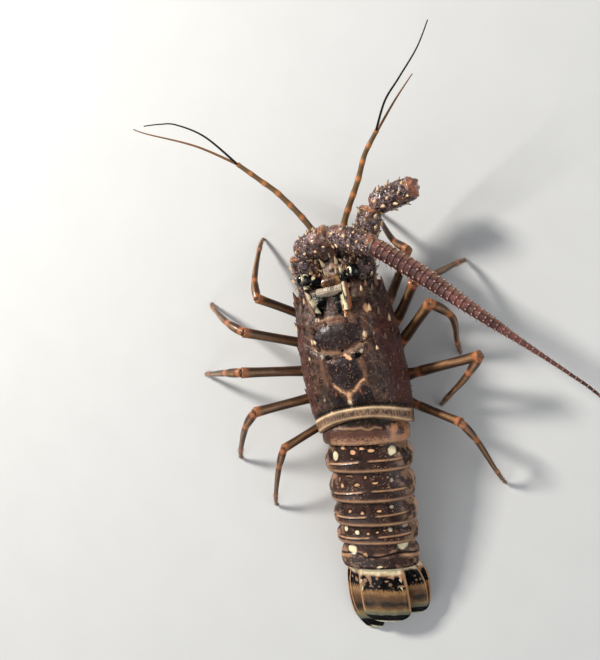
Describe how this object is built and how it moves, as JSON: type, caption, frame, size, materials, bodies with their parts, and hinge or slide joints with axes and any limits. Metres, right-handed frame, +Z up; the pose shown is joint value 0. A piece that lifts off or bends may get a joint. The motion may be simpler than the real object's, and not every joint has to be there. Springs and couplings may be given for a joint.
{
  "type": "spiny lobster",
  "caption": "Life-size spiny lobster standing on the floor, with a domed spiny carapace, horns over the eyes, thick spiny feelers, slender legs and a ringed tail with a half-closed fan.",
  "frame": {"origin": "on the floor, under the middle of the outline seen from above", "axes": "+Z up out of the back, +Y forward along the carapace, +X to the animal's right"},
  "size_m": [0.3352, 0.3726, 0.0713],
  "materials": {
    "shell": "satin",
    "horn": "satin",
    "eye": "gloss",
    "amber": "satin",
    "stalk": "satin",
    "feeler": "satin",
    "leg": "satin",
    "fan": "satin",
    "belly": "satin"
  },
  "bodies": {
    "root": {"carapace": "shell", "horn_left": "horn", "horn_right": "horn", "eye_bridge": "amber", "eye_left": "eye", "eye_right": "eye", "antennular_plate": "stalk", "antenna_left_1": "stalk", "antenna_left_2": "stalk", "antenna_left_3": "stalk", "antenna_right_1": "stalk", "antenna_right_2": "stalk", "antenna_right_3": "stalk", "whip_1": "feeler", "whip_2": "feeler", "whip_3": "feeler", "antennule_left_stalk": "feeler", "antennule_left_outer": "feeler", "antennule_left_inner": "feeler", "antennule_right_stalk": "feeler", "antennule_right_outer": "feeler", "antennule_right_inner": "feeler", "epistome": "belly", "mandible_left": "belly", "mandible_right": "belly", "maxilliped_left": "belly", "maxilliped_right": "belly", "sternum": "belly", "leg_left_1_upper": "leg", "leg_left_1_lower": "leg", "leg_left_2_upper": "leg", "leg_left_2_lower": "leg", "leg_left_3_upper": "leg", "leg_left_3_lower": "leg", "leg_left_4_upper": "leg", "leg_left_4_lower": "leg", "leg_left_5_upper": "leg", "leg_left_5_lower": "leg", "leg_right_1_upper": "leg", "leg_right_1_lower": "leg", "leg_right_2_upper": "leg", "leg_right_2_lower": "leg", "leg_right_3_upper": "leg", "leg_right_3_lower": "leg", "leg_right_4_upper": "leg", "leg_right_4_lower": "leg", "leg_right_5_upper": "leg", "leg_right_5_lower": "leg", "tail_ring_1": "shell", "tail_ring_2": "shell", "tail_ring_3": "shell", "tail_ring_4": "shell", "tail_ring_5": "shell", "tail_ring_6": "shell", "telson": "fan", "uropod_left_inner": "fan", "uropod_left_outer": "fan", "uropod_right_inner": "fan", "uropod_right_outer": "fan"}
  },
  "joints": []
}
